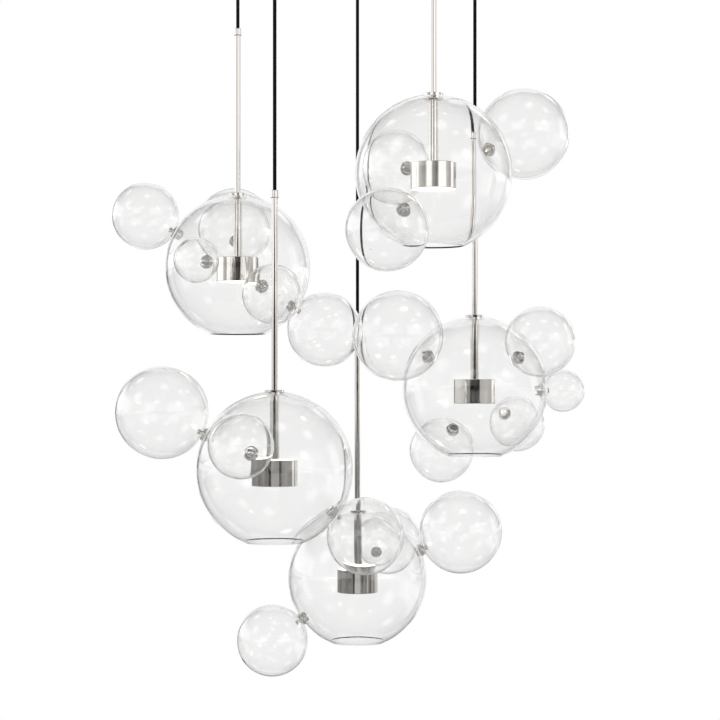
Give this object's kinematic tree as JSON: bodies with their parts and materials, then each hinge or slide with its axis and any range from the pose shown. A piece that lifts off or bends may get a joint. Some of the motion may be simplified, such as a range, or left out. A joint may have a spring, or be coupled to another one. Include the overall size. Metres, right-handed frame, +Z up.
{
  "type": "cluster pendant light",
  "caption": "Cluster pendant light: clear glass globes, each with small sealed glass bubbles and a round LED head, hang on black cords and polished stems from a round ceiling canopy.",
  "frame": {"origin": "centre of the ceiling plate's back face, on the ceiling", "axes": "+Z up into the ceiling, +X to the right and +Y to the back as the lamp is looked at in the picture"},
  "size_m": [0.9896, 1.0172, 1.6748],
  "materials": {
    "polished_nickel": "polished nickel plate",
    "plated_aluminium": "polished nickel plate on turned aluminium",
    "zinc_steel": "zinc plated sheet",
    "black_cord": "smooth round black cord",
    "clear_glass": "clear blown glass",
    "opal_diffuser": "opal acrylic, lit",
    "led_board": "white lacquered metal-core board",
    "driver_case": "off-white moulded case",
    "terminal_plastic": "natural moulded plastic"
  },
  "bodies": {
    "canopy": {"ceiling_plate": "zinc_steel", "canopy_pan": "polished_nickel", "canopy_screws": "polished_nickel", "led_driver": "driver_case", "terminal_block": "terminal_plastic"},
    "swivel 1": {"swivel_ball_1": "polished_nickel"},
    "cord 1": {"cord_1": "black_cord", "cord_grips_1": "polished_nickel"},
    "pendant 1": {"stem_1": "polished_nickel", "drop_tube_1": "polished_nickel", "globe_1": "clear_glass", "lamp_head_1": "plated_aluminium", "led_boards_1": "led_board", "diffusers_1": "opal_diffuser", "bubble_fittings_1": "polished_nickel", "bubbles_1": "clear_glass"},
    "swivel 2": {"swivel_ball_2": "polished_nickel"},
    "cord 2": {"cord_2": "black_cord", "cord_grips_2": "polished_nickel"},
    "pendant 2": {"stem_2": "polished_nickel", "drop_tube_2": "polished_nickel", "globe_2": "clear_glass", "lamp_head_2": "plated_aluminium", "led_boards_2": "led_board", "diffusers_2": "opal_diffuser", "bubble_fittings_2": "polished_nickel", "bubbles_2": "clear_glass"},
    "swivel 3": {"swivel_ball_3": "polished_nickel"},
    "cord 3": {"cord_3": "black_cord", "cord_grips_3": "polished_nickel"},
    "pendant 3": {"stem_3": "polished_nickel", "drop_tube_3": "polished_nickel", "globe_3": "clear_glass", "lamp_head_3": "plated_aluminium", "led_boards_3": "led_board", "diffusers_3": "opal_diffuser", "bubble_fittings_3": "polished_nickel", "bubbles_3": "clear_glass"},
    "swivel 4": {"swivel_ball_4": "polished_nickel"},
    "cord 4": {"cord_4": "black_cord", "cord_grips_4": "polished_nickel"},
    "pendant 4": {"stem_4": "polished_nickel", "drop_tube_4": "polished_nickel", "globe_4": "clear_glass", "lamp_head_4": "plated_aluminium", "led_boards_4": "led_board", "diffusers_4": "opal_diffuser", "bubble_fittings_4": "polished_nickel", "bubbles_4": "clear_glass"},
    "swivel 5": {"swivel_ball_5": "polished_nickel"},
    "cord 5": {"cord_5": "black_cord", "cord_grips_5": "polished_nickel"},
    "pendant 5": {"stem_5": "polished_nickel", "drop_tube_5": "polished_nickel", "globe_5": "clear_glass", "lamp_head_5": "plated_aluminium", "led_boards_5": "led_board", "diffusers_5": "opal_diffuser", "bubble_fittings_5": "polished_nickel", "bubbles_5": "clear_glass"}
  },
  "joints": [
    {"name": "swing back 1", "type": "hinge", "parent": "canopy", "child": "swivel 1", "pos_m": [0.15165, -0.20873, -0.036], "axis": [1, 0, 0], "range_deg": [-4, 4]},
    {"name": "swing right 1", "type": "hinge", "parent": "swivel 1", "child": "cord 1", "pos_m": [0.15165, -0.20873, -0.036], "axis": [0, -1, 0], "range_deg": [-4, 4]},
    {"name": "turn 1", "type": "hinge", "parent": "cord 1", "child": "pendant 1", "pos_m": [0.15165, -0.20873, -0.132], "axis": [0, 0, 1], "range_deg": [-25, 12]},
    {"name": "swing back 2", "type": "hinge", "parent": "canopy", "child": "swivel 2", "pos_m": [-0.24537, 0.07973, -0.036], "axis": [1, 0, 0], "range_deg": [-0.8, 4]},
    {"name": "swing right 2", "type": "hinge", "parent": "swivel 2", "child": "cord 2", "pos_m": [-0.24537, 0.07973, -0.036], "axis": [0, -1, 0], "range_deg": [-4, 0.5]},
    {"name": "turn 2", "type": "hinge", "parent": "cord 2", "child": "pendant 2", "pos_m": [-0.24537, 0.07973, -0.331], "axis": [0, 0, 1], "range_deg": [-45, 90]},
    {"name": "swing back 3", "type": "hinge", "parent": "canopy", "child": "swivel 3", "pos_m": [0.24537, 0.07973, -0.036], "axis": [1, 0, 0], "range_deg": [-4, 0.8]},
    {"name": "swing right 3", "type": "hinge", "parent": "swivel 3", "child": "cord 3", "pos_m": [0.24537, 0.07973, -0.036], "axis": [0, -1, 0], "range_deg": [-0.4, 4]},
    {"name": "turn 3", "type": "hinge", "parent": "cord 3", "child": "pendant 3", "pos_m": [0.24537, 0.07973, -0.543], "axis": [0, 0, 1], "range_deg": [-1.5, 90]},
    {"name": "swing back 4", "type": "hinge", "parent": "canopy", "child": "swivel 4", "pos_m": [-0.15165, -0.20873, -0.036], "axis": [1, 0, 0], "range_deg": [-4, 2]},
    {"name": "swing right 4", "type": "hinge", "parent": "swivel 4", "child": "cord 4", "pos_m": [-0.15165, -0.20873, -0.036], "axis": [0, -1, 0], "range_deg": [-4, 4]},
    {"name": "turn 4", "type": "hinge", "parent": "cord 4", "child": "pendant 4", "pos_m": [-0.15165, -0.20873, -0.698], "axis": [0, 0, 1], "range_deg": [-90, 90]},
    {"name": "swing back 5", "type": "hinge", "parent": "canopy", "child": "swivel 5", "pos_m": [0, 0.258, -0.036], "axis": [1, 0, 0], "range_deg": [-4, 4]},
    {"name": "swing right 5", "type": "hinge", "parent": "swivel 5", "child": "cord 5", "pos_m": [0, 0.258, -0.036], "axis": [0, -1, 0], "range_deg": [-4, 4]},
    {"name": "turn 5", "type": "hinge", "parent": "cord 5", "child": "pendant 5", "pos_m": [0, 0.258, -0.953], "axis": [0, 0, 1], "range_deg": [-75, 90]}
  ]
}
